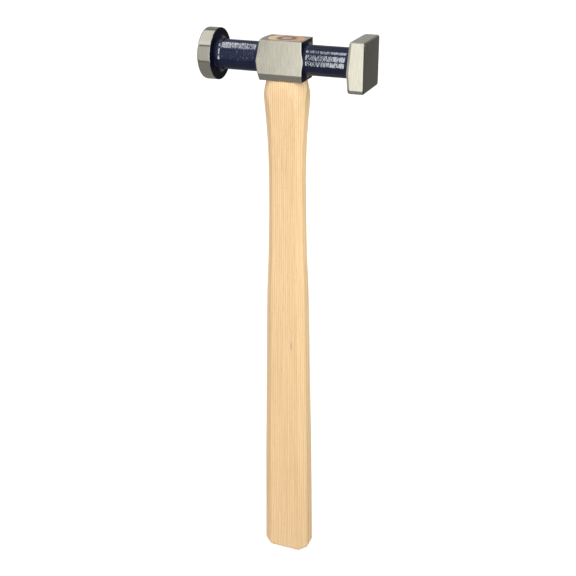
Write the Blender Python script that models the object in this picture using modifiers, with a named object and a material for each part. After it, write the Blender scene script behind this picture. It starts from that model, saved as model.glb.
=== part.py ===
"""Body hammer: a round face and a square face on one forged head, and an octagonal wooden handle.

The head is one steel forging, turned between its faces and ground flat around its eye. The handle's
tang fills the eye. A steel ring wedge, driven into the tang's end grain, spreads the wood in the eye.

Metres, +Z up. The origin is the middle of the handle's flat butt. +X points to the square face and
-Y to the front cheek.
"""

import math

import bmesh
import bpy

# Driving dimensions
GAP = 0.0003                    # clearance between pieces that touch
TURNED_STEPS = 64               # facets round a turned surface
OVAL_STEPS = 48                 # facets round the eye and the tang

HANDLE_LENGTH = 0.3560          # butt to the end grain, which is flush with the head's top
FACE_REACH = 0.0507             # handle axis to either striking face

EYE_BLOCK_ABOVE = 0.0114        # head axis to the eye block's top
EYE_BLOCK_BELOW = 0.0117
EYE_BLOCK_DEPTH = 0.0190        # across the ground cheeks
EYE_BLOCK_ROUND_END = 0.0131    # handle axis to the block's end on the round face's side
EYE_BLOCK_SQUARE_END = 0.0125
CHEEK_BEVEL_HEIGHT = 0.0039     # steep bevel along the bottom of each cheek
CHEEK_BEVEL_DEPTH = 0.0010
EDGE_BREAK = 0.0004             # small chamfer on ground edges

NECK_RADIUS = 0.0085
ROUND_SIDE_FLARE = 0.0060       # fillet from neck to eye block
SQUARE_SIDE_FLARE = 0.0030

ROUND_FACE_RADIUS = 0.0150
ROUND_FACE_RIM = 0.0088         # width of the disc's ground rim
ROUND_FACE_EDGE = 0.0015        # rounding between rim and face
ROUND_FACE_BACK_CHAMFER = 0.0004
ROUND_FACE_FILLET = 0.0032      # fillet from the disc's back to the neck

SQUARE_FACE_SIDE = 0.0284
FLANGE_TOP = 0.0086             # the square flange's thickness along its top edge
FLANGE_PARTING = 0.0103         # and where the two forging dies met, its thickest place
FLANGE_BOTTOM = 0.0092
FLANGE_PARTING_DROP = 0.0030    # the parting line lies this far under the head's axis
FLANGE_FILLET = 0.0032

# Eye and tang: height from the head's axis, half length along X, half depth along Y
EYE_SECTIONS = (
    (-0.0117, 0.0110, 0.0079),
    (-0.0050, 0.0104, 0.0073),
    (0.0010, 0.0102, 0.0071),
    (0.0060, 0.0106, 0.0075),
    (0.0114, 0.0113, 0.0082),
)

# Handle: height from the butt, width along X, depth along Y, and the 45 degree corner cut
HANDLE_SECTIONS = (
    (0.000, 0.0317, 0.0216, 0.0059),
    (0.040, 0.0307, 0.0211, 0.0057),
    (0.075, 0.0298, 0.0205, 0.0055),
    (0.110, 0.0285, 0.0197, 0.0053),
    (0.150, 0.0270, 0.0187, 0.0051),
    (0.183, 0.0259, 0.0179, 0.0049),
    (0.201, 0.0250, 0.0171, 0.0046),
    (0.213, 0.0240, 0.0162, 0.0044),
    (0.224, 0.0231, 0.0155, 0.0042),
    (0.241, 0.0224, 0.0147, 0.0040),
    (0.263, 0.0218, 0.0138, 0.0038),
    (0.276, 0.0217, 0.0139, 0.0038),
    (0.291, 0.0222, 0.0150, 0.0041),
    (0.304, 0.0234, 0.0165, 0.0047),
    (0.314, 0.0248, 0.0178, 0.0050),
    (0.321, 0.0259, 0.0184, 0.0052),
    (0.361, 0.0266, 0.0190, 0.0052),
)
SQUARE_SIDE_CUT = 0.75          # the corners on the square face's side are cut narrower along X
BUTT_ROUNDING = 0.0018
BUTT_STEPS = 4
# Rounded cone under the head: height from the butt, half length and half depth
SHOULDER_SECTIONS = (
    (-0.0100, 0.0230, 0.0170),
    (0.2910, 0.0200, 0.0150),
    (0.3190, 0.0147, 0.0110),
    (0.3265, 0.0137, 0.0100),
)
SHOULDER_TOP = (0.0123, 0.0088)

RING_RADIUS = 0.0054
RING_WALL = 0.0020
RING_LENGTH = 0.0180
RING_TAPER = 0.0007             # how much the outside narrows over the length
RING_EDGE_WALL = 0.0005         # wall left at the cutting edge
RING_EDGE_LENGTH = 0.0040

HEAD_AXIS = HANDLE_LENGTH - EYE_BLOCK_ABOVE


def clear_scene():
    for item in list(bpy.data.objects):
        bpy.data.objects.remove(item, do_unlink=True)


def new_collection(name):
    collection = bpy.data.collections.new(name)
    bpy.context.scene.collection.children.link(collection)
    return collection


def new_material(name, colour, roughness, metallic):
    material = bpy.data.materials.new(name)
    material.use_nodes = True
    shader = material.node_tree.nodes["Principled BSDF"]
    shader.inputs["Base Color"].default_value = (*colour, 1.0)
    shader.inputs["Roughness"].default_value = roughness
    shader.inputs["Metallic"].default_value = metallic
    material.diffuse_color = (*colour, 1.0)
    return material


def object_from_bmesh(name, bm, collection):
    mesh = bpy.data.meshes.new(name)
    bm.to_mesh(mesh)
    bm.free()
    item = bpy.data.objects.new(name, mesh)
    collection.objects.link(item)
    return item


def make_cutter(item):
    item.hide_render = True
    item.display_type = "WIRE"
    return item


def combine(item, other, operation):
    modifier = item.modifiers.new(other.name, "BOOLEAN")
    modifier.object = other
    modifier.operation = operation
    modifier.solver = "EXACT"


def arc(centre, radius, start, end, steps):
    """Points on an arc round centre, with the angles in degrees from the outline's first axis."""
    points = []
    for step in range(steps + 1):
        angle = math.radians(start + (end - start) * step / steps)
        points.append((centre[0] + radius * math.cos(angle), centre[1] + radius * math.sin(angle)))
    return points


def turned(name, outline, collection, steps=TURNED_STEPS):
    """Turn an outline of (radius, height) points, given from top to bottom, round Z."""
    bm = bmesh.new()
    points = [bm.verts.new((radius, 0.0, height)) for radius, height in outline]
    for first, second in zip(points, points[1:]):
        bm.edges.new((first, second))
    item = object_from_bmesh(name, bm, collection)
    screw = item.modifiers.new("Turn", "SCREW")
    screw.axis = "Z"
    screw.steps = steps
    screw.render_steps = steps
    screw.use_merge_vertices = True
    screw.merge_threshold = 0.00001
    screw.use_smooth_shade = True
    return item


def loft(name, rings, collection):
    """Close a stack of rings, each with the same number of points, from the lowest to the highest."""
    bm = bmesh.new()
    loops = [[bm.verts.new(point) for point in ring] for ring in rings]
    for lower, upper in zip(loops, loops[1:]):
        for index in range(len(lower)):
            following = (index + 1) % len(lower)
            bm.faces.new((lower[index], lower[following], upper[following], upper[index]))
    bm.faces.new(list(reversed(loops[0])))
    bm.faces.new(loops[-1])
    return object_from_bmesh(name, bm, collection)


def oval(height, half_length, half_depth):
    """One oval ring, counted round +Z."""
    ring = []
    for step in range(OVAL_STEPS):
        angle = 2 * math.pi * step / OVAL_STEPS
        ring.append((half_length * math.cos(angle), half_depth * math.sin(angle), height))
    return ring


def octagon(height, width, depth, cut):
    """One eight-sided ring, counted round +Z: a rectangle with its corners cut off."""
    x, y = width / 2, depth / 2
    square_x, round_x = x - cut * SQUARE_SIDE_CUT, -x + cut
    corners = (
        (x, -y + cut), (x, y - cut), (square_x, y), (round_x, y),
        (-x, y - cut), (-x, -y + cut), (round_x, -y), (square_x, -y),
    )
    return [(corner_x, corner_y, height) for corner_x, corner_y in corners]


def head_blank_outline():
    """Outline of the turned blank, from inside the square flange down to the round face."""
    boss = EYE_BLOCK_BELOW * 1.5                # wider than the ground block's corners
    flange_back = FACE_REACH - FLANGE_TOP - 0.0008
    fillet = FLANGE_FILLET
    outline = [(0.0, flange_back + 0.002), (NECK_RADIUS + fillet, flange_back + 0.002)]
    outline += arc((NECK_RADIUS + fillet, flange_back - fillet), fillet, 90, 180, 6)

    end = EYE_BLOCK_SQUARE_END
    flare = SQUARE_SIDE_FLARE
    outline += arc((NECK_RADIUS + flare, end + flare), flare, 180, 270, 6)
    outline += [(boss, end), (boss, -EYE_BLOCK_ROUND_END)]

    end = -EYE_BLOCK_ROUND_END
    flare = ROUND_SIDE_FLARE
    outline += arc((NECK_RADIUS + flare, end - flare), flare, 90, 180, 8)

    back = -FACE_REACH + ROUND_FACE_RIM
    fillet = ROUND_FACE_FILLET
    outline += arc((NECK_RADIUS + fillet, back + fillet), fillet, 180, 270, 6)
    outline += [(ROUND_FACE_RADIUS - ROUND_FACE_BACK_CHAMFER, back)]
    outline += [(ROUND_FACE_RADIUS, back - ROUND_FACE_BACK_CHAMFER)]
    edge = ROUND_FACE_EDGE
    outline += arc((ROUND_FACE_RADIUS - edge, -FACE_REACH + edge), edge, 0, -90, 4)
    outline += [(0.0, -FACE_REACH)]
    return outline


def box(name, low, high, collection):
    bm = bmesh.new()
    bmesh.ops.create_cube(bm, size=1.0)
    bmesh.ops.scale(bm, vec=[h - l for l, h in zip(low, high)], verts=bm.verts)
    bmesh.ops.translate(bm, vec=[(l + h) / 2 for l, h in zip(low, high)], verts=bm.verts)
    return object_from_bmesh(name, bm, collection)


def eye_block_outline():
    """The block's section as (y, z) points, counted round +X, with its two bevelled cheeks."""
    half = EYE_BLOCK_DEPTH / 2
    back = [
        (half - CHEEK_BEVEL_DEPTH, -EYE_BLOCK_BELOW),
        (half, -EYE_BLOCK_BELOW + CHEEK_BEVEL_HEIGHT),
        (half, EYE_BLOCK_ABOVE - EDGE_BREAK),
        (half - EDGE_BREAK, EYE_BLOCK_ABOVE),
    ]
    front = [(-y, z) for y, z in reversed(back)]
    return [(y, HEAD_AXIS + z) for y, z in back + front]


def ground_envelope(cutters):
    """What grinding leaves: the block's flats in the middle, and room for both faces."""
    reach = 0.032
    room = 1.2 * ROUND_FACE_RADIUS
    rings = [[(x, y, z) for y, z in eye_block_outline()] for x in (-reach, reach)]
    block = loft("ground_block", rings, cutters)
    for name, side in (("round_face_room", -1), ("square_face_room", 1)):
        ends = sorted((side * (reach - 0.001), side * (FACE_REACH + 0.002)))
        low = (ends[0], -room, HEAD_AXIS - room)
        high = (ends[1], room, HEAD_AXIS + room)
        combine(block, make_cutter(box(name, low, high, cutters)), "UNION")
    return make_cutter(block)


def square_flange(cutters):
    """The square flange: its back slopes both ways from the line where the dies met."""
    half = SQUARE_FACE_SIDE / 2
    outline = (
        (FACE_REACH, -half),
        (FACE_REACH, half),
        (FACE_REACH - FLANGE_TOP, half),
        (FACE_REACH - FLANGE_PARTING + 0.0003, -FLANGE_PARTING_DROP + 0.003),
        (FACE_REACH - FLANGE_PARTING, -FLANGE_PARTING_DROP),
        (FACE_REACH - FLANGE_PARTING + 0.0003, -FLANGE_PARTING_DROP - 0.003),
        (FACE_REACH - FLANGE_BOTTOM, -half),
    )
    rings = [[(x, y, HEAD_AXIS + z) for x, z in outline] for y in (half, -half)]
    flange = loft("square_flange", rings, cutters)
    bevel = flange.modifiers.new("Edge break", "BEVEL")
    bevel.width = EDGE_BREAK
    bevel.segments = 2
    bevel.limit_method = "ANGLE"
    return make_cutter(flange)


def eye_hole(cutters):
    """The oval eye, flared towards both of its mouths and run past the block's faces."""
    lowest, highest = EYE_SECTIONS[0], EYE_SECTIONS[-1]
    sections = [(lowest[0] - 0.002, *lowest[1:]), *EYE_SECTIONS, (highest[0] + 0.002, *highest[1:])]
    rings = [oval(HEAD_AXIS + height, *halves) for height, *halves in sections]
    return make_cutter(loft("eye_hole", rings, cutters))


def make_head(collection, cutters):
    head = turned("head", head_blank_outline(), collection)
    head.rotation_euler = (0.0, math.pi / 2, 0.0)
    head.location = (0.0, 0.0, HEAD_AXIS)
    combine(head, ground_envelope(cutters), "INTERSECT")
    combine(head, square_flange(cutters), "UNION")
    combine(head, eye_hole(cutters), "DIFFERENCE")
    head.data.materials.append(new_material("ground_steel", (0.56, 0.54, 0.48), 0.35, 1.0))
    return head


def rounded_butt_rings():
    """Rings of the butt's rounding, from the flat end up to where the edge starts."""
    _, width, depth, cut = HANDLE_SECTIONS[0]
    rings = []
    for step in range(BUTT_STEPS + 1):
        angle = math.pi / 2 * step / BUTT_STEPS
        inset = BUTT_ROUNDING * (1 - math.sin(angle))
        height = BUTT_ROUNDING * (1 - math.cos(angle))
        rings.append(octagon(height, width - 2 * inset, depth - 2 * inset, cut))
    return rings


def tang_and_shoulder(cutters):
    """Oval body that rounds the shoulder under the head and becomes the tang in the eye."""
    rings = [oval(*section) for section in SHOULDER_SECTIONS]
    block_bottom = HEAD_AXIS - EYE_BLOCK_BELOW
    rings.append(oval(block_bottom - GAP, *SHOULDER_TOP))
    for height, half_length, half_depth in EYE_SECTIONS:
        level = HEAD_AXIS + height
        if level <= block_bottom:
            level = block_bottom - GAP
        rings.append(oval(level, half_length - GAP, half_depth - GAP))
    return make_cutter(loft("tang_and_shoulder", rings, cutters))


def ring_outline(outer_gap, inner_gap, tip_gap):
    """Ring wedge outline: tapered outside, straight bore, and a cutting edge at the bottom."""
    top = HANDLE_LENGTH
    bottom = top - RING_LENGTH
    bore = RING_RADIUS - RING_WALL
    edge = bore + RING_EDGE_WALL
    return [
        (RING_RADIUS + outer_gap, top),
        (RING_RADIUS - RING_TAPER + outer_gap, bottom + RING_EDGE_LENGTH - tip_gap),
        (edge + outer_gap, bottom - tip_gap),
        (bore - inner_gap, bottom - tip_gap),
        (bore - inner_gap, top),
    ]


def ring_groove(cutters):
    """The groove that the ring wedge cuts in the end grain."""
    outline = ring_outline(GAP, GAP, GAP)
    above = 0.001
    outline[0] = (outline[0][0], outline[0][1] + above)
    outline[-1] = (outline[-1][0], outline[-1][1] + above)
    outline.append(outline[0])
    return make_cutter(turned("ring_groove", outline, cutters))


def make_handle(collection, cutters):
    rings = rounded_butt_rings()
    rings += [octagon(*section) for section in HANDLE_SECTIONS[1:]]
    handle = loft("handle", rings, collection)
    combine(handle, tang_and_shoulder(cutters), "INTERSECT")
    combine(handle, ring_groove(cutters), "DIFFERENCE")
    handle.data.materials.append(new_material("ash_wood", (0.90, 0.64, 0.37), 0.55, 0.0))
    return handle


def make_ring_wedge(collection):
    outline = ring_outline(0.0, 0.0, 0.0)
    outline.append(outline[0])
    ring = turned("ring_wedge", outline, collection)
    ring.data.materials.append(new_material("wedge_steel", (0.36, 0.34, 0.31), 0.45, 1.0))
    return ring


def build():
    clear_scene()
    collection = new_collection("body_hammer")
    cutters = new_collection("cutters")
    pieces = [
        make_head(collection, cutters),
        make_handle(collection, cutters),
        make_ring_wedge(collection),
    ]
    hammer = bpy.data.objects.new("body_hammer", None)
    collection.objects.link(hammer)
    for piece in pieces:
        piece.parent = hammer


build()
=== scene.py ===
"""A body hammer: one forged head with a round and a square face, wedged on an octagonal ash handle.

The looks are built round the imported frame, in metres, with the handle's butt on the floor at the origin,
+X towards the square face and -Y towards the front cheek.
"""

import math

import bmesh
import bpy
import numpy as np
from mathutils import Matrix, Vector, noise


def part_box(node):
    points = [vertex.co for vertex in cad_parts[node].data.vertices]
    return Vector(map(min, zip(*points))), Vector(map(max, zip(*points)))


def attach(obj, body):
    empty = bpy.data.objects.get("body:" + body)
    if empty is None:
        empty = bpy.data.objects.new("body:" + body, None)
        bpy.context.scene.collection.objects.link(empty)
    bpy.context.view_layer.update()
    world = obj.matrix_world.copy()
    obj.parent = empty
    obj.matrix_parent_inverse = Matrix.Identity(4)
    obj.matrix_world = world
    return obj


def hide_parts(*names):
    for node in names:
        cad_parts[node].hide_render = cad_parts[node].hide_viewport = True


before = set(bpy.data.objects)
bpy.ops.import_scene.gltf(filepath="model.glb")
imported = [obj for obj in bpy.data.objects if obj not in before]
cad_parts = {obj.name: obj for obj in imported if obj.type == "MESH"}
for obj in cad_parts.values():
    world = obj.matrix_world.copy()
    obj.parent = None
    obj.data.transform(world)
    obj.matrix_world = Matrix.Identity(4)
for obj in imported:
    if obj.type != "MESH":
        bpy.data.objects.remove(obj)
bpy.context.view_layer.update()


# ---------------------------------------------------------------------------------------------------
# Head. One steel forging: a round disc and a square flange on two round necks, with the eye block
# between them. The disc's rim, the block's flats and the flange are ground bare with a belt; the eye
# is an oval hole, narrowest in its middle, that the handle's tang fills.
# ---------------------------------------------------------------------------------------------------
head_low, head_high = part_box("head")
HEAD_AXIS = (head_low.z + head_high.z) / 2
FACE_REACH = head_high.x
DISC_RADIUS = (head_high.z - head_low.z) / 2

DISC_CROWN = 0.0002             # the round face swells this much in its middle
DISC_EDGE = 0.0015
DISC_RIM = 0.0088
DISC_BACK_EDGE = 0.0004
NECK_RADIUS = 0.0085
FILLET = 0.0032                 # from a neck to the disc's back, and to the flange's

BLOCK_TOP = 0.0114              # flats of the eye block, from the head's axis
BLOCK_BOTTOM = 0.0117
BLOCK_CHEEK = 0.0095
BEVEL_HEIGHT = 0.0039           # the steep bevel along the foot of each cheek
BEVEL_DEPTH = 0.0010
BLOCK_EDGE = 0.0003
ROUND_END = 0.01335             # where the block's two ends reach, at its corners
SQUARE_END = 0.01245
ROUND_END_SLOPE = math.radians(70)
ROUND_END_FILLET = 0.0025
SQUARE_END_FILLET = 0.0025
END_LEAN = 0.00045              # the forged end is fuller under the parting line

FLANGE_HALF = 0.0142
FLANGE_TOP = 0.0086             # thickness at the top, at the parting line, and at the bottom
FLANGE_PARTING = 0.0103
FLANGE_BOTTOM = 0.0092
PARTING_LEVEL = -0.0030
PARTING_SOFTNESS = 0.0012       # half the height over which the two slopes blend
FLANGE_REAR_EDGE = 0.0012       # a shallow bevel round the rear of its sides
FLANGE_REAR_DEPTH = 0.0003
FLANGE_FACE_EDGE = 0.0006
FLANGE_TOP_CUT = 0.0006         # chamfers along the top of its sides, and steeper bevels along the foot
FLANGE_FOOT_HEIGHT = 0.0019
FLANGE_FOOT_DEPTH = 0.0005

BLOCK_SHARPNESS = 80            # the higher, the less the corners of a section are broken
BEVEL_SHARPNESS = 240
FLANGE_SHARPNESS = 200

EYE_SECTIONS = (                # height from the head's axis, half length, half depth
    (-0.0117, 0.0110, 0.0079),
    (-0.0050, 0.0104, 0.0073),
    (0.0010, 0.0102, 0.0071),
    (0.0060, 0.0106, 0.0075),
    (0.0114, 0.0113, 0.0082),
)
EYE_MOUTH_BREAK = 0.0003
EYE_CUTTER_RUN = 0.002          # how far the eye's cutter runs out above and below the block
HEAD_WIDEST_ANGLE = 3.0         # the head's mesh: degrees between columns, and metres between neck rings
HEAD_NECK_STEP = 0.0016
HEAD_SHARP = 40                 # degrees; edges that fold more than this are shaded crisp


def section_angles(widest):
    """Angles round the head's axis from +Y towards +Z, set close together along its ground edges."""
    block = [(BLOCK_CHEEK, BLOCK_TOP), (BLOCK_CHEEK, BEVEL_HEIGHT - BLOCK_BOTTOM),
             (BLOCK_CHEEK - BEVEL_DEPTH, -BLOCK_BOTTOM)]
    corners = block + [(FLANGE_HALF, FLANGE_HALF), (FLANGE_HALF, FLANGE_FOOT_HEIGHT - FLANGE_HALF),
                       (FLANGE_HALF - FLANGE_FOOT_DEPTH, -FLANGE_HALF)]
    corners += [(-y, z) for y, z in corners]
    close = []
    for y, z in corners:
        centre = math.degrees(math.atan2(z, y))
        close += [centre + step for step in (-3.2, -1.9, -1.1, -0.5, 0.0, 0.5, 1.1, 1.9, 3.2)]
    angles = []
    for angle in sorted(close):
        if not angles or angle - angles[-1] > 0.3:
            angles.append(angle)
    filled = []
    for angle, following in zip(angles, angles[1:] + [angles[0] + 360]):
        count = math.ceil((following - angle) / widest)
        filled += [angle + (following - angle) * step / count for step in range(count)]
    return np.radians(filled)


def pull(angles, y, z, reach):
    """How strongly a flat with this outward direction and distance holds the section in."""
    return np.maximum(0.0, (y * np.cos(angles) + z * np.sin(angles)) / reach * DISC_RADIUS)


def ground_radius(pulls, sharpness):
    """Radius of a section held in by several flats, with its corners slightly broken."""
    return DISC_RADIUS * sum(each ** sharpness for each in pulls) ** (-1 / sharpness)


def block_radius(angles):
    """The eye block's section: four flats, with a steep bevel along the foot of each cheek."""
    slope = math.hypot(BEVEL_HEIGHT, BEVEL_DEPTH)
    across, down = BEVEL_HEIGHT / slope, -BEVEL_DEPTH / slope
    bevel_reach = BLOCK_CHEEK * across + (BEVEL_HEIGHT - BLOCK_BOTTOM) * down
    sides = []
    for side in (1, -1):
        cheek = pull(angles, side, 0, BLOCK_CHEEK)
        bevel = pull(angles, side * across, down, bevel_reach)
        sides.append((cheek ** BEVEL_SHARPNESS + bevel ** BEVEL_SHARPNESS) ** (1 / BEVEL_SHARPNESS))
    ends = [pull(angles, 0, 1, BLOCK_TOP), pull(angles, 0, -1, BLOCK_BOTTOM)]
    return ground_radius(sides + ends, BLOCK_SHARPNESS)


def flange_radius(angles):
    """The flange's section: a square with cut top corners and steep bevels along the foot."""
    flats = [(y, z, FLANGE_HALF) for y, z in ((1, 0), (-1, 0), (0, 1), (0, -1))]
    slant = math.sqrt(0.5)
    slope = math.hypot(FLANGE_FOOT_HEIGHT, FLANGE_FOOT_DEPTH)
    across, down = FLANGE_FOOT_HEIGHT / slope, -FLANGE_FOOT_DEPTH / slope
    foot_reach = FLANGE_HALF * across + (FLANGE_FOOT_HEIGHT - FLANGE_HALF) * down
    for side in (1, -1):
        flats.append((side * slant, slant, (2 * FLANGE_HALF - FLANGE_TOP_CUT) * slant))
        flats.append((side * across, down, foot_reach))
    return ground_radius([pull(angles, *flat) for flat in flats], FLANGE_SHARPNESS)


def quarter(steps):
    """Shares of a quarter turn, from its start to its end."""
    return [math.pi / 2 * step / steps for step in range(steps + 1)]


def along_profile(profile_x, profile_radius, last_radius, count):
    """Follow a rising profile up to a last radius at each angle, in even steps of its length."""
    steps = np.hypot(np.diff(profile_x), np.diff(profile_radius))
    travelled = np.concatenate(([0.0], np.cumsum(steps)))
    last = np.interp(last_radius, profile_radius, travelled)
    for step in range(count + 1):
        distance = last * step / count
        yield np.interp(distance, travelled, profile_x), np.interp(distance, travelled, profile_radius)


def head_sections(angles, neck_step):
    """Every ring round the head from the round face to the square one: (zone, x, radius) at each angle."""
    rings = []

    def ring(zone, x, radius):
        rings.append((zone, np.zeros_like(angles) + x, np.zeros_like(angles) + radius))

    flat = DISC_RADIUS - DISC_EDGE
    face = -FACE_REACH + DISC_CROWN
    for share in (0.25, 0.5, 0.75, 0.93):
        ring("round face", face - DISC_CROWN * (1 - share ** 2), flat * share)
    for turn in quarter(7):
        ring("rim", face + DISC_EDGE * (1 - math.cos(turn)), flat + DISC_EDGE * math.sin(turn))
    back = -FACE_REACH + DISC_RIM
    for share in (0.03, 0.35, 0.7, 0.98):
        start, end = face + DISC_EDGE, back - DISC_BACK_EDGE
        ring("rim", start + (end - start) * share, DISC_RADIUS)
    for turn in quarter(3):
        x = back - DISC_BACK_EDGE * (1 - math.sin(turn))
        ring("disc back", x, DISC_RADIUS - DISC_BACK_EDGE * (1 - math.cos(turn)))
    for share in (0.08, 0.3, 0.53, 0.76):
        outer, inner = DISC_RADIUS - DISC_BACK_EDGE, NECK_RADIUS + FILLET
        ring("disc back", back, outer + (inner - outer) * share)
    for turn in quarter(10):
        x = back + FILLET * (1 - math.cos(turn))
        ring("round neck", x, NECK_RADIUS + FILLET * (1 - math.sin(turn)))

    # The block's end on the round face's side is a steep cone that grows out of the neck.
    block = block_radius(angles)
    grown = ROUND_END_FILLET * (1 - math.cos(ROUND_END_SLOPE))
    cone = np.tan(ROUND_END_SLOPE)
    corner = block.max()
    cone_foot = -ROUND_END - (corner - NECK_RADIUS - grown) / cone
    flare_start = cone_foot - ROUND_END_FILLET * math.sin(ROUND_END_SLOPE)
    start = back + FILLET
    count = math.ceil((flare_start - start) / neck_step)
    for step in range(1, count):
        ring("round neck", start + (flare_start - start) * step / count, NECK_RADIUS)
    turns = np.linspace(0, ROUND_END_SLOPE, 24)
    profile_x = np.append(flare_start + ROUND_END_FILLET * np.sin(turns), -ROUND_END + 0.001 / cone)
    profile_radius = np.append(NECK_RADIUS + ROUND_END_FILLET * (1 - np.cos(turns)), corner + 0.001)
    lean = END_LEAN * np.sin(angles) / (np.abs(np.sin(angles)) + 0.2)
    inside = block * (1 - BLOCK_EDGE / BLOCK_CHEEK)
    for x, radius in along_profile(profile_x, profile_radius, inside, 16):
        grown_share = np.clip((radius - NECK_RADIUS) / 0.001, 0, 1)
        ring("round end", x + lean * grown_share, radius)
        edge_x = x + lean
    for turn in quarter(3)[1:]:
        radius = inside + (block - inside) * math.sin(turn)
        ring("block", edge_x + BLOCK_EDGE * (1 - math.cos(turn)), radius)
    left = edge_x + BLOCK_EDGE

    # The other end is flat, with a small fillet at the neck.
    turns = np.linspace(0, math.pi / 2, 24)
    profile_x = SQUARE_END + SQUARE_END_FILLET * (1 - np.sin(turns))
    profile_radius = NECK_RADIUS + SQUARE_END_FILLET * (1 - np.cos(turns))
    profile_x = np.append(profile_x, SQUARE_END)
    profile_radius = np.append(profile_radius, corner + 0.001)
    falling = list(along_profile(profile_x, profile_radius, inside, 16))[::-1]
    right = falling[0][0] - BLOCK_EDGE
    for share in (0.012, 0.2, 0.5, 0.8, 0.988, 1.0):
        ring("block", left + (right - left) * share, block)
    for turn in quarter(3)[1:-1]:
        radius = inside + (block - inside) * math.cos(turn)
        ring("block", right + BLOCK_EDGE * math.sin(turn), radius)
    for x, radius in falling:
        ring("square end", x, radius)

    # The flange's back slopes both ways from the line where the forging dies met.
    def flange_back(radius):
        level = radius * np.sin(angles)
        rise = np.sqrt((level - PARTING_LEVEL) ** 2 + PARTING_SOFTNESS ** 2) - PARTING_SOFTNESS
        above = (FLANGE_PARTING - FLANGE_TOP) / (FLANGE_HALF - PARTING_LEVEL)
        below = (FLANGE_PARTING - FLANGE_BOTTOM) / (FLANGE_HALF + PARTING_LEVEL)
        return FACE_REACH - FLANGE_PARTING + rise * np.where(level > PARTING_LEVEL, above, below)

    start = SQUARE_END + SQUARE_END_FILLET
    meeting = flange_back(NECK_RADIUS + FILLET) - FILLET
    count = math.ceil((meeting.min() - start) / neck_step)
    for step in range(1, count):
        ring("square neck", start + (meeting - start) * step / count, NECK_RADIUS)
    for turn in quarter(10):
        radius = NECK_RADIUS + FILLET * (1 - math.cos(turn))
        ring("square neck", flange_back(radius) - FILLET * (1 - math.sin(turn)), radius)
    side = flange_radius(angles)
    rear = side * (1 - FLANGE_REAR_DEPTH / FLANGE_HALF)
    for share in (0.3, 0.6, 0.95, 1.0):
        radius = NECK_RADIUS + FILLET + (rear - NECK_RADIUS - FILLET) * share
        ring("flange back", flange_back(radius), radius)
    for share in (0.04, 0.3, 0.6, 0.85, 1.0):
        ring("flange", flange_back(side) + FLANGE_REAR_EDGE * share, rear + (side - rear) * share)
    start, end = flange_back(side) + FLANGE_REAR_EDGE, FACE_REACH - FLANGE_FACE_EDGE
    for share in (0.02, 0.35, 0.7, 0.98, 1.0):
        ring("flange", start + (end - start) * share, side)
    front = side * (1 - FLANGE_FACE_EDGE / FLANGE_HALF)
    for share in (0.04, 0.5, 0.96, 1.0):
        ring("square face", end + FLANGE_FACE_EDGE * share, side + (front - side) * share)
    for share in (0.98, 0.7, 0.35):
        ring("square face", FACE_REACH, front * share)
    return rings


def ring_points(angles, x, radius):
    """A ring's points, one for each angle round the head's axis."""
    return np.stack((x, radius * np.cos(angles), HEAD_AXIS + radius * np.sin(angles)), axis=1)


def new_object(name, points, faces, materials):
    """A mesh object with these materials, in the scene and at the origin."""
    mesh = bpy.data.meshes.new(name)
    mesh.from_pydata([tuple(point) for point in points], [], faces)
    for material in materials:
        mesh.materials.append(material)
    mesh.validate()
    piece = bpy.data.objects.new(name, mesh)
    bpy.context.scene.collection.objects.link(piece)
    return piece


def band(first, second, count):
    """Faces between two rings of points that start at these numbers."""
    following = [(k + 1) % count for k in range(count)]
    return [(first + k, first + n, second + n, second + k) for k, n in enumerate(following)]


MERGE_DISTANCE = 0.000001


def finished(piece, sharp_angle):
    """Turn a piece's modifiers into plain mesh, merge, face it outwards, and keep crisp edges crisp."""
    evaluated = piece.evaluated_get(bpy.context.evaluated_depsgraph_get())
    mesh = bpy.data.meshes.new_from_object(evaluated)
    piece.modifiers.clear()
    piece.data = mesh
    bm = bmesh.new()
    bm.from_mesh(mesh)
    bmesh.ops.remove_doubles(bm, verts=bm.verts, dist=MERGE_DISTANCE)
    bmesh.ops.recalc_face_normals(bm, faces=bm.faces)
    bm.to_mesh(mesh)
    bm.free()
    mesh.shade_smooth()
    mesh.set_sharp_from_angle(angle=math.radians(sharp_angle))


def cut_with(piece, cutter):
    """Have a piece cut by another, once it is finished."""
    modifier = piece.modifiers.new("Cut", "BOOLEAN")
    modifier.operation = "DIFFERENCE"
    modifier.solver = "EXACT"
    modifier.object = cutter


def oval_stack(name, sections, count):
    """A closed stack of level ovals with this many points: (height, half length, half depth)."""
    turns = np.linspace(0, 2 * math.pi, count, endpoint=False)
    points, faces = [], []
    for height, half_length, half_depth in sections:
        points += [(half_length * math.cos(t), half_depth * math.sin(t), height) for t in turns]
    for level in range(len(sections) - 1):
        faces += band(level * count, (level + 1) * count, count)
    top = (len(sections) - 1) * count
    faces += [tuple(reversed(range(count))), tuple(range(top, top + count))]
    return new_object(name, points, faces, [])


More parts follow.
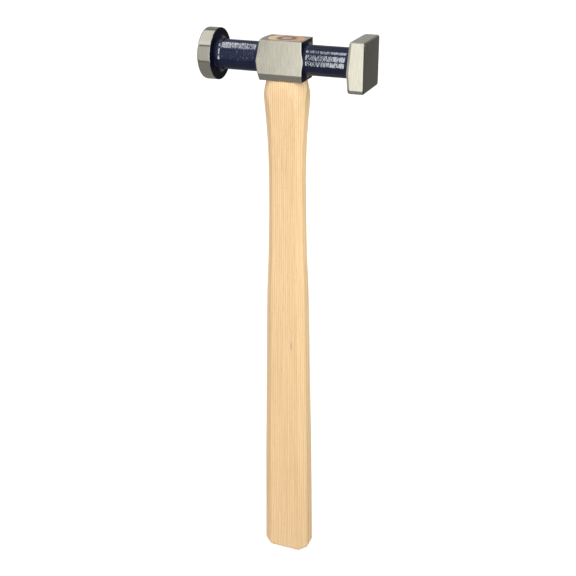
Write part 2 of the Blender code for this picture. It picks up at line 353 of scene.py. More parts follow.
class Wire:
    """An output socket in a node tree. Arithmetic on it adds Math nodes to that tree."""

    def __init__(self, socket):
        self.socket = socket

    @staticmethod
    def node(tree, kind, settings=None, sockets=None, output=0):
        """Add a node of this type, with its settings and the values or links of its sockets."""
        made = tree.nodes.new(kind)
        for name, value in (settings or {}).items():
            setattr(made, name, value)
        for name, value in (sockets or {}).items():
            if isinstance(value, Wire):
                tree.links.new(value.socket, made.inputs[name])
            else:
                made.inputs[name].default_value = value
        return Wire(made.outputs[output]) if made.outputs else None

    def math(self, operation, first, second=0.0):
        sockets = {0: first, 1: second}
        return Wire.node(self.socket.id_data, "ShaderNodeMath", {"operation": operation}, sockets)

    def __add__(self, other):
        return self.math("ADD", self, other)

    def __radd__(self, other):
        return self.math("ADD", other, self)

    def __sub__(self, other):
        return self.math("SUBTRACT", self, other)

    def __rsub__(self, other):
        return self.math("SUBTRACT", other, self)

    def __mul__(self, other):
        return self.math("MULTIPLY", self, other)

    def __rmul__(self, other):
        return self.math("MULTIPLY", other, self)

    def __truediv__(self, other):
        return self.math("DIVIDE", self, other)

    def __rtruediv__(self, other):
        return self.math("DIVIDE", other, self)

    def __pow__(self, other):
        return self.math("POWER", self, other)


def new_finish(name):
    """A material with one Principled shader: (material, its tree, the shader)."""
    material = bpy.data.materials.new(name)
    material.use_nodes = True
    tree = material.node_tree
    return material, tree, tree.nodes["Principled BSDF"]


def place(tree):
    """Where a point lies on the piece, in metres."""
    return Wire.node(tree, "ShaderNodeTexCoord", output="Object")


def stretched(tree, size):
    """The piece's coordinates divided by the size of one feature along X, Y and Z."""
    scale = tuple(1 / each for each in size)
    settings = {"vector_type": "POINT"}
    return Wire.node(tree, "ShaderNodeMapping", settings, {"Vector": place(tree), "Scale": scale})


def mottle(tree, size, detail=2.0):
    """Noise from 0 to 1 whose features have this size in metres."""
    sockets = {"Vector": stretched(tree, size), "Scale": 1.0, "Detail": detail, "Roughness": 0.55}
    return Wire.node(tree, "ShaderNodeTexNoise", None, sockets)


def clamped(wire, low, high):
    """0 below low, 1 above high, and a smooth rise between them."""
    sockets = {"Value": wire, "From Min": low, "From Max": high}
    settings = {"interpolation_type": "SMOOTHSTEP"}
    return Wire.node(wire.socket.id_data, "ShaderNodeMapRange", settings, sockets)


def mixed(share, first, second):
    """Colour between two colours, each a wire or (red, green, blue)."""
    first, second = (each if isinstance(each, Wire) else (*each, 1.0) for each in (first, second))
    sockets = {0: share, 6: first, 7: second}
    return Wire.node(share.socket.id_data, "ShaderNodeMix", {"data_type": "RGBA"}, sockets, 2)


def parts_of(wire):
    """A vector's X, Y and Z."""
    split = Wire.node(wire.socket.id_data, "ShaderNodeSeparateXYZ", None, {0: wire})
    return [Wire(socket) for socket in split.socket.node.outputs]


def bumped(height, strength, distance):
    """A surface raised by a height from 0 to 1, over this distance in metres."""
    sockets = {"Strength": strength, "Distance": distance, "Height": height}
    return Wire.node(height.socket.id_data, "ShaderNodeBump", None, sockets)


def connect(shader, wires):
    """Feed a shader's sockets, by name."""
    for name, wire in wires.items():
        shader.id_data.links.new(wire.socket, shader.inputs[name])


def steady(shader, values):
    """Set what is the same all over a surface, by the name of its socket."""
    for name, value in values.items():
        shader.inputs[name].default_value = value


def belt_ground(name, scratch, roughness, light, dark):
    """Steel ground on a belt: fine parallel scratches, each of the given size along X, Y and Z."""
    material, tree, shader = new_finish(name)
    coarse = mottle(tree, scratch, 1.0)
    fine = mottle(tree, [each / 2.0 for each in scratch], 1.0)
    cloud = mottle(tree, (0.006, 0.006, 0.009), 2.0)
    tone = 0.58 + 0.6 * (coarse - 0.5) + 0.8 * (fine - 0.5) + 0.4 * (cloud - 0.5)
    steady(shader, {"Metallic": 1.0})
    connect(shader, {
        "Base Color": mixed(tone, dark, light),
        "Roughness": roughness + 0.10 * (coarse - 0.5) + 0.08 * (cloud - 0.5),
        "Normal": bumped(0.5 * coarse + 0.5 * fine, 0.14, 0.00004),
    })
    return material


upright_ground = belt_ground("upright_ground_steel", (0.0005, 0.0005, 0.012), 0.17,
                             (0.70, 0.68, 0.585), (0.42, 0.41, 0.345))
lengthwise_ground = belt_ground("lengthwise_ground_steel", (0.012, 0.0005, 0.0005), 0.28,
                                (0.74, 0.74, 0.665), (0.50, 0.50, 0.44))
polished_rim = belt_ground("polished_rim_steel", (0.0003, 0.010, 0.010), 0.13,
                           (0.66, 0.64, 0.56), (0.55, 0.535, 0.465))

head_angles = section_angles(HEAD_WIDEST_ANGLE)
head_rings = head_sections(head_angles, HEAD_NECK_STEP)
around = len(head_angles)
points = [(-FACE_REACH, 0.0, HEAD_AXIS)]
for _, x, radius in head_rings:
    points.extend(ring_points(head_angles, x, radius))
points.append((FACE_REACH, 0.0, HEAD_AXIS))
faces = [(0, 1 + k, 1 + (k + 1) % around) for k in range(around)]
zones = ["round face"] * around
for number, (zone, _, _) in enumerate(head_rings[:-1]):
    faces += band(1 + number * around, 1 + (number + 1) * around, around)
    zones += [zone] * around
last_ring = 1 + (len(head_rings) - 1) * around
faces += [(last_ring + (k + 1) % around, last_ring + k, len(points) - 1) for k in range(around)]
zones += ["square face"] * around
steels = [upright_ground, lengthwise_ground, polished_rim]
head_forging = new_object("head_forging", points, faces, steels)
for polygon, zone in zip(head_forging.data.polygons, zones):
    level = abs(polygon.normal.z) > 0.7
    if zone in ("rim", "round face"):
        polygon.material_index = steels.index(polished_rim)
    elif zone in ("block", "flange") and level:
        polygon.material_index = steels.index(lengthwise_ground)

lowest, highest = EYE_SECTIONS[0], EYE_SECTIONS[-1]
mouth, run = EYE_MOUTH_BREAK, EYE_CUTTER_RUN
eye_stack = [(HEAD_AXIS + lowest[0] - run, lowest[1] + mouth + run, lowest[2] + mouth + run)]
eye_stack += [(HEAD_AXIS + lowest[0] + mouth, lowest[1], lowest[2])]
eye_stack += [(HEAD_AXIS + height, *halves) for height, *halves in EYE_SECTIONS[1:-1]]
eye_stack += [(HEAD_AXIS + highest[0] - mouth, highest[1], highest[2])]
eye_stack += [(HEAD_AXIS + highest[0] + run, highest[1] + mouth + run, highest[2] + mouth + run)]
eye = oval_stack("eye", eye_stack, 112)
cut_with(head_forging, eye)
finished(head_forging, HEAD_SHARP)
bpy.data.objects.remove(eye)
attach(head_forging, "root")
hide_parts("head")


# ---------------------------------------------------------------------------------------------------
# Enamel. A thick, glossy navy coat on what stays as forged: the disc's back, the necks, the block's
# ends and the flange's back. It was brushed on over an uneven surface and ground off at its borders.
# ---------------------------------------------------------------------------------------------------
COAT = 0.00012
COAT_BORDER = 0.0004            # the coat thins out over this distance
COAT_INSIDE = 0.0003            # how far the coat's own inner side lies in the steel
COAT_TUCK = 0.00002             # how deep its bare border is tucked under the steel
LUMP = 0.000022
LUMP_SIZE = 0.0026
DIMPLE = 0.000010
DIMPLE_SIZE = 0.0007
WANDER = 0.00012                # how far the border wanders to and fro
WANDER_SIZE = 0.0018
REAR_BARE = 0.0024              # the block's ends are ground bare this deep along their rear edge,
NECK_MARGIN = 0.001             # but the coat stays on the necks and this far round them,
BARE_REACH = 0.00365            # and everywhere beyond this distance from the block's end
COAT_WIDEST_ANGLE = 2.4         # the coats' mesh: degrees between columns, and metres between neck rings
COAT_NECK_STEP = 0.00045
COAT_SHARP = 60

navy_enamel, tree, shader = new_finish("navy_enamel")
cloud = mottle(tree, (0.005, 0.005, 0.005))
navy = mixed(cloud, (0.0020, 0.0032, 0.0084), (0.0037, 0.0055, 0.0140))
# The coat is more rippled on the round face's side, and evens out towards the flange.
towards_square = parts_of(place(tree))[0]
ripple_height = 1.3 - 0.3 * clamped(towards_square, -0.005, 0.005)
ripple_height = ripple_height - 0.55 * clamped(towards_square, 0.024, 0.031)
ripple = mottle(tree, (0.0008, 0.0011, 0.0011), 1.0) * ripple_height
steady(shader, {"Roughness": 0.05, "IOR": 1.33})
connect(shader, {"Base Color": navy, "Normal": bumped(ripple, 0.5, 0.00012)})


def enamel_coat(name, first_zone, last_zone):
    """A closed shell over the forging from one zone to another, lumpy outside and hidden inside."""
    angles = section_angles(COAT_WIDEST_ANGLE)
    rings = head_sections(angles, COAT_NECK_STEP)
    zones = [zone for zone, _, _ in rings]
    first = zones.index(first_zone)
    last = len(zones) - zones[::-1].index(last_zone)
    grid = np.array([ring_points(angles, x, radius) for _, x, radius in rings])
    along = np.gradient(grid, axis=0)
    round_it = np.roll(grid, -1, axis=1) - np.roll(grid, 1, axis=1)
    normals = np.cross(round_it, along)
    normals /= np.linalg.norm(normals, axis=2, keepdims=True)
    grid, normals = grid[first:last], normals[first:last]
    steps = np.linalg.norm(np.diff(grid, axis=0), axis=2)
    from_start = np.vstack((np.zeros(len(angles)), np.cumsum(steps, axis=0)))
    to_border = np.minimum(from_start, from_start[-1] - from_start)
    block_reach = ROUND_END + BARE_REACH
    outer = np.empty_like(grid)
    for i in range(grid.shape[0]):
        for j in range(grid.shape[1]):
            point = Vector(grid[i, j])
            wander = noise.noise(point / WANDER_SIZE) * WANDER
            inside = to_border[i, j]
            if abs(point.x) < block_reach:
                on_neck = NECK_RADIUS + NECK_MARGIN - math.hypot(point.y, point.z - HEAD_AXIS)
                inside = min(inside, max(BLOCK_CHEEK - REAR_BARE - point.y, on_neck))
            cover = min(1.0, max(0.0, (inside + wander) / COAT_BORDER))
            cover = cover * cover * (3 - 2 * cover)
            lump = LUMP * noise.noise(point / LUMP_SIZE) + DIMPLE * noise.noise(point / DIMPLE_SIZE)
            lift = (COAT + lump) * cover - COAT_TUCK * (1 - cover)
            outer[i, j] = grid[i, j] + normals[i, j] * lift
    inner = grid - normals * COAT_INSIDE
    shell = np.concatenate((outer, inner[::-1]))
    around, levels = len(angles), len(shell)
    faces = []
    for level in range(levels):
        faces += band(level * around, (level + 1) % levels * around, around)
    coat = new_object(name, shell.reshape(-1, 3), faces, [navy_enamel])
    finished(coat, COAT_SHARP)
    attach(coat, "root")
    return coat


enamel_coats = [
    enamel_coat("round_side_enamel", "disc back", "round end"),
    enamel_coat("square_side_enamel", "square end", "flange back"),
]


# ---------------------------------------------------------------------------------------------------
# Handle. One piece of pale, straight-grained ash, shaved to an octagon that is widest at the butt,
# rounded to a cone under the head, and reduced to an oval tang that was driven up through the eye.
# ---------------------------------------------------------------------------------------------------
handle_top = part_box("handle")[1].z
HANDLE_SECTIONS = (             # height from the butt, width, depth and corner cut
    (0.000, 0.0317, 0.0216, 0.0059),
    (0.040, 0.0307, 0.0211, 0.0057),
    (0.075, 0.0298, 0.0205, 0.0055),
    (0.110, 0.0285, 0.0197, 0.0053),
    (0.150, 0.0270, 0.0187, 0.0051),
    (0.183, 0.0259, 0.0179, 0.0049),
    (0.201, 0.0250, 0.0171, 0.0046),
    (0.213, 0.0240, 0.0162, 0.0044),
    (0.224, 0.0231, 0.0155, 0.0042),
    (0.241, 0.0224, 0.0147, 0.0040),
    (0.263, 0.0218, 0.0138, 0.0038),
    (0.276, 0.0217, 0.0139, 0.0038),
    (0.291, 0.0222, 0.0150, 0.0041),
    (0.304, 0.0234, 0.0165, 0.0047),
    (0.314, 0.0248, 0.0178, 0.0050),
    (0.321, 0.0259, 0.0184, 0.0052),
    (0.361, 0.0266, 0.0190, 0.0052),
)
SQUARE_SIDE_CUT = 0.75          # the corners under the square face are cut narrower along X
SHOULDER_SECTIONS = (           # height from the butt, half length and half depth of the cone
    (-0.010, 0.0230, 0.0170),
    (0.2910, 0.0200, 0.0150),
    (0.3190, 0.0147, 0.0110),
    (0.3265, 0.0137, 0.0100),
    (0.3326, 0.0123, 0.0088),
)
BUTT_ROUNDING = 0.0018
SEAT_STEP = 0.0001              # from the cone's last row up to the tang's first
TANG_LEAD = 0.0002              # the tang's fit to the eye starts this far under the head
TANG_GAP = 0.00004
TANG_EDGE = 0.0002              # how much its top edge is broken
HANDLE_COLUMNS = 152
HANDLE_ROW_STEP = 0.0009
HANDLE_MERGE = 0.000002
HANDLE_CRISPNESS = 170.0        # the higher, the crisper the edges of the octagon
HANDLE_SHARP = 50               # degrees; edges that fold more than this are shaded crisp


def through(sections, heights):
    """A smooth curve through each column of a table of sections, read at these heights."""
    table = np.array(sections)
    levels, values = table[:, 0], table[:, 1:]
    slopes = np.gradient(values, levels, axis=0)
    k = np.clip(np.searchsorted(levels, heights) - 1, 0, len(levels) - 2)
    span = (levels[k + 1] - levels[k])[:, None]
    t = (np.array(heights) - levels[k])[:, None] / span
    rise = t * t * (3 - 2 * t)
    leave, arrive = t * (1 - t) ** 2, t * t * (t - 1)
    bend = (slopes[k] * leave + slopes[k + 1] * arrive) * span
    return values[k] * (1 - rise) + values[k + 1] * rise + bend


def handle_rows():
    """Each level of the handle: height, half width, half depth, cut, oval halves, inset and fill."""
    underside = HEAD_AXIS - BLOCK_BOTTOM
    seat = SHOULDER_SECTIONS[-1][0]
    levels = [(0.0, BUTT_ROUNDING, fill) for fill in (0.0, 0.3, 0.6, 0.9, 1.0)]
    for turn in quarter(6)[1:]:
        levels.append((BUTT_ROUNDING * (1 - math.cos(turn)), BUTT_ROUNDING * (1 - math.sin(turn)), 1.0))
    count = math.ceil((seat - BUTT_ROUNDING) / HANDLE_ROW_STEP)
    for step in range(1, count + 1):
        levels.append((BUTT_ROUNDING + (seat - BUTT_ROUNDING) * step / count, 0.0, 1.0))
    shaft_rows = len(levels)
    tang = [(underside - TANG_LEAD, *EYE_SECTIONS[0][1:])]
    tang += [(HEAD_AXIS + height, *halves) for height, *halves in EYE_SECTIONS]
    tang_heights = [seat + SEAT_STEP] + list(np.linspace(underside, handle_top - TANG_EDGE, 14))
    levels += [(height, 0.0, 1.0) for height in tang_heights]
    levels += [(handle_top, TANG_EDGE, fill) for fill in (1.0, 0.85, 0.6, 0.3, 0.0)]
    heights = [level[0] for level in levels]
    shaft = through(HANDLE_SECTIONS, heights)
    cone = through(SHOULDER_SECTIONS, heights)
    tang_oval = through(tang, heights) - TANG_GAP
    oval = np.where((np.arange(len(levels)) < shaft_rows)[:, None], cone, tang_oval)
    return {
        "height": np.array(heights),
        "half_width": shaft[:, 0] / 2,
        "half_depth": shaft[:, 1] / 2,
        "cut": shaft[:, 2],
        "oval_length": oval[:, 0],
        "oval_depth": oval[:, 1],
        "inset": np.array([level[1] for level in levels]),
        "fill": np.array([level[2] for level in levels]),
    }


def shaving_tree():
    """Nodes that wrap an octagon, held in by an oval, round the levels of a handle."""
    tree = bpy.data.node_groups.new("shaved_handle", "GeometryNodeTree")
    tree.interface.new_socket("Levels", in_out="INPUT", socket_type="NodeSocketGeometry")
    inputs = (("Columns", "NodeSocketInt"), ("Narrow cut", "NodeSocketFloat"),
              ("Crispness", "NodeSocketFloat"), ("Material", "NodeSocketMaterial"))
    for name, kind in inputs:
        tree.interface.new_socket(name, in_out="INPUT", socket_type=kind)
    tree.interface.new_socket("Handle", in_out="OUTPUT", socket_type="NodeSocketGeometry")

    def add(kind, settings=None, sockets=None, output=0):
        return Wire.node(tree, kind, settings, sockets, output)

    start = add("NodeGroupInput").socket.node
    given = {socket.name: Wire(socket) for socket in start.outputs if socket.name}
    rows = add("GeometryNodeAttributeDomainSize", {"component": "MESH"}, {"Geometry": given["Levels"]})
    sockets = {"Size X": 1.0, "Size Y": 1.0, "Vertices X": given["Columns"] + 1.0, "Vertices Y": rows}
    sheet = add("GeometryNodeMeshGrid", None, sockets)
    across, along, _ = parts_of(add("GeometryNodeInputPosition"))
    share = across + 0.5
    row = (along + 0.5) * (rows - 1.0) + 0.5

    def level(name):
        value = add("GeometryNodeInputNamedAttribute", {"data_type": "FLOAT"}, {"Name": name})
        sockets = {"Geometry": given["Levels"], "Value": value, "Index": row.math("FLOOR", row)}
        return add("GeometryNodeSampleIndex", {"data_type": "FLOAT"}, sockets)

    # Each quarter turn runs along half a side, then the corner's cut, then half the front or the back.
    turn = share * 4.0
    quarter_number = turn.math("FLOOR", turn)
    odd = turn.math("FLOORED_MODULO", quarter_number, 2.0)
    part = turn - quarter_number
    part = (part + odd * (1.0 - 2.0 * part)) * 3.0

    def eased(low):
        step = add("ShaderNodeClamp", None, {"Value": part - low})
        return 0.5 - 0.5 * step.math("COSINE", step * math.pi)

    on_side, on_cut, on_flat = eased(0.0), eased(1.0), eased(2.0)
    right = turn.math("GREATER_THAN", turn.math("ABSOLUTE", turn - 2.0), 1.0)
    back = turn.math("LESS_THAN", turn, 2.0)
    width, depth, cut = level("half_width"), level("half_depth"), level("cut")
    lean = 1.0 - right * (1.0 - given["Narrow cut"])
    x = width - lean * cut * on_cut - (width - lean * cut) * on_flat
    y = (depth - cut) * on_side + cut * on_cut
    inset = level("inset")
    slope = lean.math("SQRT", lean * lean + 1.0)
    cut_reach = (width + lean * (depth - cut)) / slope - inset
    crisp = given["Crispness"]
    a, b = x / level("oval_length"), y / level("oval_depth")
    held = (x / (width - inset)) ** crisp + (y / (depth - inset)) ** crisp
    held = held + ((x + lean * y) / slope / cut_reach) ** crisp + (a * a + b * b) ** (crisp * 0.5)
    reach = held ** (-1.0 / crisp) * level("fill")
    sockets = {0: x * reach * (2.0 * right - 1.0), 1: y * reach * (2.0 * back - 1.0), 2: level("height")}
    place_at = add("ShaderNodeCombineXYZ", None, sockets)
    wrapped = add("GeometryNodeSetPosition", None, {"Geometry": sheet, "Position": place_at})
    closed = add("GeometryNodeMergeByDistance", None, {"Geometry": wrapped, "Distance": HANDLE_MERGE})
    real = add("GeometryNodeRealizeInstances", None, {"Geometry": closed})
    dressed = add("GeometryNodeSetMaterial", None, {"Geometry": real, "Material": given["Material"]})
    add("NodeGroupOutput", None, {0: dressed})
    return tree


def set_input(modifier, name, value):
    """Set a tree's named input on its modifier, by the socket's identifier."""
    for item in modifier.node_group.interface.items_tree:
        if item.item_type == "SOCKET" and item.in_out == "INPUT" and item.name == name:
            modifier[item.identifier] = value


YEAR_WIDTH = 0.0012             # one year's growth
PITH = (-0.145, -0.050)         # the heart of the tree, off to the handle's left and front
KNOT_PLACE = (0.0056, 0.1630)   # across the handle, and from the butt
KNOT_SIZE = (0.0006, 0.0034)


def ash(name, end_grain):
    """Ash: year rings round a far heart, fine fibres along the handle, and a thin satin varnish."""
    material, tree, shader = new_finish(name)
    x, y, z = parts_of(place(tree))
    drift = mottle(tree, (0.012, 0.012, 0.12), 1.0)
    waver = mottle(tree, (0.004, 0.004, 0.035), 1.0)
    across, back = x - PITH[0], y - PITH[1]
    radius = x.math("SQRT", across * across + back * back)
    year = (radius + 0.0016 * drift + 0.0003 * waver) / YEAR_WIDTH
    year_share = year.math("FRACT", year)
    late = clamped(year_share, 0.35, 0.86) - clamped(year_share, 0.90, 1.0)
    fibre = mottle(tree, (0.00035, 0.00035, 0.016), 2.0)
    streak = mottle(tree, (0.0011, 0.0011, 0.060), 2.0)
    fleck = clamped(mottle(tree, (0.0003, 0.0003, 0.0030), 0.0), 0.62, 0.78)
    broad = mottle(tree, (0.010, 0.010, 0.080), 1.0)
    if end_grain:
        # Bruised and dusty on top, inside the ring wedge, close round it and along the eye's long sides.
        pale = mixed(clamped(x, -0.007, 0.008), (0.88, 0.62, 0.39), (0.67, 0.40, 0.24))
        from_axis = x.math("SQRT", x * x + y * y)
        top = clamped(z, 0.30, 0.31)
        dust = 1.0 - clamped(from_axis, 0.0030, 0.0045)
        dust = dust + clamped(y.math("ABSOLUTE", y), 0.0052, 0.0068)
        pale = mixed(0.85 * top * dust, pale, (0.50, 0.395, 0.32))
        bruise = clamped(from_axis, 0.0048, 0.0054) * (1.0 - clamped(from_axis, 0.0056, 0.0078))
        pale = mixed(0.6 * top * bruise, pale, (0.30, 0.19, 0.12))
        deep = (0.30, 0.15, 0.08)
        pore = clamped(mottle(tree, (0.00022, 0.00022, 0.01), 0.0), 0.60, 0.72)
        tone = 0.45 * late + 0.40 * pore * (1.0 - late) + 0.2 * broad
        steady(shader, {"Roughness": 0.7, "Specular IOR Level": 0.15})
    else:
        pale, deep = (0.90, 0.640, 0.37), (0.72, 0.445, 0.225)
        tone = 0.70 * late + 1.10 * (streak - 0.38) + 0.9 * (fibre - 0.5)
        tone = tone + 0.35 * fleck + 0.3 * (broad - 0.5)
        steady(shader, {"Roughness": 0.42, "Specular IOR Level": 0.35})
        steady(shader, {"Coat Weight": 0.06, "Coat Roughness": 0.30})
    colour = mixed(tone, pale, deep)
    # A pin knot on the front, halfway down.
    dx, dz = (x - KNOT_PLACE[0]) / KNOT_SIZE[0], (z - KNOT_PLACE[1]) / KNOT_SIZE[1]
    knot = (1.0 - clamped(x.math("SQRT", dx * dx + dz * dz), 0.2, 1.3)) * x.math("LESS_THAN", y, 0.0)
    colour = mixed(0.6 * knot, colour, (0.36, 0.19, 0.08))
    height = 0.5 * fibre - 0.5 * fleck - 0.3 * late
    connect(shader, {"Base Color": colour, "Normal": bumped(height, 0.25, 0.0001)})
    return material


ash_side, ash_end = ash("ash_long_grain", False), ash("ash_end_grain", True)

rows = handle_rows()
levels_mesh = bpy.data.meshes.new("ash_handle")
levels_mesh.from_pydata([(0.0, 0.0, height) for height in rows["height"]], [], [])
for attribute, values in rows.items():
    layer = levels_mesh.attributes.new(attribute, "FLOAT", "POINT")
    layer.data.foreach_set("value", values.astype(np.float32))
ash_handle = bpy.data.objects.new("ash_handle", levels_mesh)
bpy.context.scene.collection.objects.link(ash_handle)
shaving = ash_handle.modifiers.new("Shaving", "NODES")
shaving.node_group = shaving_tree()
set_input(shaving, "Columns", HANDLE_COLUMNS)
set_input(shaving, "Narrow cut", SQUARE_SIDE_CUT)
set_input(shaving, "Crispness", HANDLE_CRISPNESS)
set_input(shaving, "Material", ash_side)
finished(ash_handle, HANDLE_SHARP)


# ---------------------------------------------------------------------------------------------------
# Ring wedge. A short tapered steel tube, driven into the tang's end grain until it is flush, which
# spreads the wood in the eye. Its top is bruised by the hammer.
# ---------------------------------------------------------------------------------------------------
RING_RADIUS = 0.0054
RING_WALL = 0.0020
RING_LENGTH = 0.0180
RING_TAPER = 0.0007
RING_TIP_WALL = 0.0005
RING_TIP = 0.0040
RING_PROUD = 0.00012
RING_EDGE = 0.00025
GROOVE_CLEARANCE = 0.00002
GROOVE_RUN = 0.002              # how far the groove's cutter runs out above the wood
RING_SHARP = 40
ring_top = handle_top


def turned_ring(name, clearance, above, materials):
    """The ring's outline, turned round Z, with the given clearance all round it."""
    bore, edge = RING_RADIUS - RING_WALL, RING_EDGE
    outer, top = RING_RADIUS + clearance, ring_top + above
    bottom = ring_top - RING_LENGTH
    outline = [
        (bore - clearance, top - edge), (bore - clearance + 0.3 * edge, top - 0.3 * edge),
        (bore - clearance + edge, top), (outer - edge, top), (outer - 0.3 * edge, top - 0.3 * edge),
        (outer, top - edge), (outer - RING_TAPER, bottom + RING_TIP),
        (bore + RING_TIP_WALL + clearance, bottom - clearance), (bore - clearance, bottom - clearance),
    ]
    count = 96
    points = []
    for radius, height in outline:
        for step in range(count):
            angle = 2 * math.pi * step / count
            points.append((radius * math.cos(angle), radius * math.sin(angle), height))
    faces = []
    for level in range(len(outline)):
        faces += band(level * count, (level + 1) % len(outline) * count, count)
    return new_object(name, points, faces, materials)


bruised_steel, tree, shader = new_finish("bruised_wedge_steel")
stain = mottle(tree, (0.0012, 0.0012, 0.0012), 3.0)
steady(shader, {"Metallic": 1.0})
connect(shader, {
    "Base Color": mixed(stain, (0.27, 0.25, 0.22), (0.46, 0.43, 0.375)),
    "Roughness": 0.40 + 0.20 * stain,
    "Normal": bumped(stain, 0.4, 0.0002),
})

groove = turned_ring("groove", GROOVE_CLEARANCE, GROOVE_RUN, [])
finished(groove, RING_SHARP)
cut_with(ash_handle, groove)
finished(ash_handle, HANDLE_SHARP)
bpy.data.objects.remove(groove)
ash_handle.data.materials.clear()
for wood in (ash_side, ash_end):
    ash_handle.data.materials.append(wood)
for polygon in ash_handle.data.polygons:
    at_an_end = polygon.center.z < 0.001 or polygon.center.z > HEAD_AXIS
    polygon.material_index = int(abs(polygon.normal.z) > 0.8 and at_an_end)
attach(ash_handle, "root")
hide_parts("handle")

ring_wedge_steel = turned_ring("ring_wedge_steel", 0.0, RING_PROUD, [bruised_steel])
finished(ring_wedge_steel, RING_SHARP)
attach(ring_wedge_steel, "root")
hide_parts("ring_wedge")


# ---------------------------------------------------------------------------------------------------
# Studio. A plain white floor that shines a little, so that it stays pale, a sky of soft panels in front
# and overhead with dark seams between them and grey behind, and lamps for the wood and the enamel.
# ---------------------------------------------------------------------------------------------------
FLOOR_REACH = 9
floor_paint, tree, shader = new_finish("floor_paint")
steady(shader, {"Base Color": (0.35, 0.35, 0.35, 1.0), "Roughness": 1.0, "Specular IOR Level": 0.0})
steady(shader, {"Emission Color": (1.0, 1.0, 1.0, 1.0), "Emission Strength": 0.86})
floor_corners = [(x * FLOOR_REACH, y * FLOOR_REACH, 0) for x, y in ((-1, -1), (1, -1), (1, 1), (-1, 1))]
floor = new_object("floor", floor_corners, [(0, 1, 2, 3)], [floor_paint])
floor.visible_glossy = False
floor.visible_diffuse = False

world = bpy.data.worlds.new("studio")
bpy.context.scene.world = world
world.use_nodes = True
tree = world.node_tree
tree.nodes.clear()
east, north, up = parts_of(Wire.node(tree, "ShaderNodeTexCoord", output="Generated"))
rise = up.math("ARCTAN2", up, 0.0 - north) * (180 / math.pi)     # 0 in front, 90 overhead, 180 behind


def between(wire, low, high, soft):
    """1 between two bounds and 0 beyond them, with a soft step at each."""
    return clamped(wire, low - soft, low + soft) - clamped(wire, high - soft, high + soft)


front = between(rise, -29, 130, 3)
low_front = between(rise, -29, 60, 8)
overhead = between(rise, 41, 130, 3)
facing = clamped(east, -0.395, -0.318) * (1.0 - clamped(east, 0.25, 0.95))
panel = front * 0.20 + low_front * 1.02 * facing
panel = panel + low_front * 0.13 * (1.0 - clamped(east, -0.42, -0.39))
panel = panel + overhead * 0.50 * (1.0 - clamped(east, -0.40, -0.34))
panel = panel + overhead * 0.9 * clamped(east, -0.20, 0.0) * (1.0 - clamped(east, 0.2, 0.6))
seams = between(rise, 38, 45, 0.7) + between(rise, -31, -26, 0.7) + between(rise, 127, 132, 0.7)
rear_grey = 0.27 + 0.05 * clamped(east, -0.45, -0.33) + 0.08 * clamped(rise, 145, 160)
shade = 1.0 - 0.70 * clamped(east, 0.0, 0.35) * (1.0 - front)
glow = (rear_grey + panel) * shade * (1.0 - 0.85 * seams)
lit = Wire.node(tree, "ShaderNodeBackground", None, {"Color": (1.0, 0.985, 0.96, 1.0), "Strength": glow})
plain = Wire.node(tree, "ShaderNodeBackground", None, {"Color": (1.0, 1.0, 1.0, 1.0), "Strength": 1.0})
seen = Wire.node(tree, "ShaderNodeLightPath", output="Is Camera Ray")
sky = Wire.node(tree, "ShaderNodeMixShader", None, {0: seen, 1: lit, 2: plain})
Wire.node(tree, "ShaderNodeOutputWorld", None, {"Surface": sky})


def hang(lamp, where, receivers):
    """Hang a lamp, itself out of sight, that lights nothing but the pieces in this group."""
    holder = bpy.data.objects.new(lamp.name, lamp)
    bpy.context.scene.collection.objects.link(holder)
    holder.matrix_world = where
    holder.visible_camera = False
    holder.light_linking.receiver_collection = receivers


def lit_group(name, pieces):
    """The pieces that a lamp lights."""
    group = bpy.data.collections.new(name)
    for piece in pieces:
        group.objects.link(piece)
    return group


# Soft lamps that only light the handle: a key from the right and one low beside each of its sides.
handle_group = lit_group("lit_by_soft_lamps", [ash_handle])
SOFT_LAMP_SIZE = 0.5
SOFT_LAMP_DISTANCE = 0.8
SOFT_LAMP_AIM = Vector((0.0, 0.0, 0.30))
SOFT_LAMPS = (                  # direction from the handle, and power
    (0.58, -0.66, 0.45, 3.0),
    (0.95, 0.30, 0.20, 3.8),
    (-0.95, -0.20, 0.10, 1.8),
)
for number, (*towards, power) in enumerate(SOFT_LAMPS):
    towards = Vector(towards).normalized()
    lamp = bpy.data.lights.new(f"soft_lamp_{number}", "AREA")
    lamp.shape = "DISK"
    lamp.size = SOFT_LAMP_SIZE
    lamp.energy = power
    lamp.color = (0.92, 1.0, 1.0)
    turn = towards.to_track_quat("Z", "Y").to_matrix().to_4x4()
    hang(lamp, Matrix.Translation(SOFT_LAMP_AIM + towards * SOFT_LAMP_DISTANCE) @ turn, handle_group)

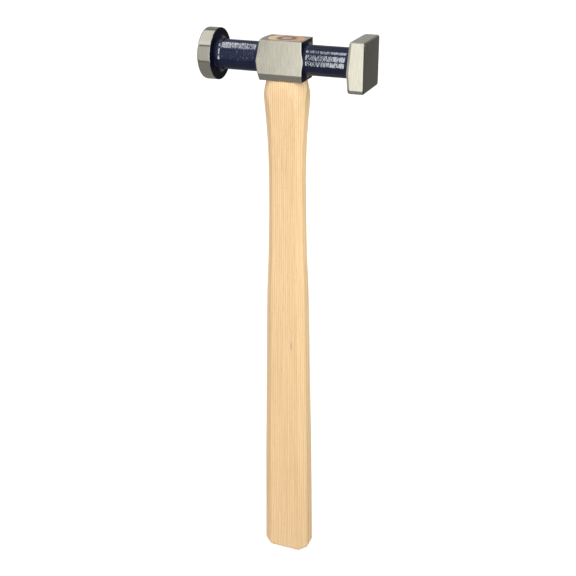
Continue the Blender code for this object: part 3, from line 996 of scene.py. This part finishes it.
# Strip lamps that only light the enamel, and the first of them only the round side's: each spans a range
# of heights over the head, in degrees from level in front, and a range across it.
round_side_group = lit_group("lit_by_round_side_strip", enamel_coats[:1])
enamel_group = lit_group("lit_by_strips", enamel_coats)
STRIPS = (                      # neck's middle, low and high angle, left and right bound, brightness
    (-0.028, 61, 112, -0.600, -0.402, 18.5),
    (0.026, 64, 85, -0.336, 0.250, 18.0),
    (0.026, 10, 47, -0.328, 0.100, 25.0),
    (0.026, -33, 0, -0.328, 0.100, 25.0),
)
for number, (neck, low, high, left, right, brightness) in enumerate(STRIPS):
    lift = math.radians((low + high) / 2)
    cross = (left + right) / 2
    level = math.sqrt(1 - cross ** 2)
    towards = Vector((cross, -level * math.cos(lift), level * math.sin(lift)))
    over = Vector((0.0, math.sin(lift), math.cos(lift)))
    lamp = bpy.data.lights.new(f"strip_lamp_{number}", "AREA")
    lamp.shape = "RECTANGLE"
    lamp.size = (right - left) / level
    lamp.size_y = 2 * level * math.tan(math.radians((high - low) / 2))
    lamp.energy = brightness * math.pi * lamp.size * lamp.size_y
    lamp.color = (0.96, 0.97, 1.0)
    turn = Matrix((over.cross(towards), over, towards)).transposed().to_4x4()
    spot = Vector((neck, 0.0, HEAD_AXIS)) + towards
    hang(lamp, Matrix.Translation(spot) @ turn, enamel_group if neck > 0 else round_side_group)
bpy.context.scene.view_settings.view_transform = "Standard"


# ---------------------------------------------------------------------------------------------------
# Camera. Above and to the right of the front cheek, looking down on the middle of the handle.
# ---------------------------------------------------------------------------------------------------
AZIMUTH, ELEVATION, ROLL = (math.radians(angle) for angle in (21.411, 24.707, -0.266))
DISTANCE = 0.6147
LENS = 60.254
AIM_BELOW_AXIS = 0.14526
aim = Vector((0.0, 0.0, HEAD_AXIS - AIM_BELOW_AXIS))
right = Vector((math.cos(AZIMUTH), math.sin(AZIMUTH), 0.0))
behind = Vector((math.sin(AZIMUTH) * math.cos(ELEVATION),
                 -math.cos(AZIMUTH) * math.cos(ELEVATION), math.sin(ELEVATION)))
upward = behind.cross(right)
right = right * math.cos(ROLL) + upward * math.sin(ROLL)
upward = behind.cross(right)
camera_data = bpy.data.cameras.new("camera")
camera_data.lens = LENS
camera_data.sensor_width = 36.0
camera_data.clip_start, camera_data.clip_end = 0.01, 50.0
camera = bpy.data.objects.new("camera", camera_data)
turn = Matrix((right, upward, behind)).transposed().to_4x4()
camera.matrix_world = Matrix.Translation(aim + behind * DISTANCE) @ turn
bpy.context.scene.collection.objects.link(camera)
bpy.context.scene.camera = camera
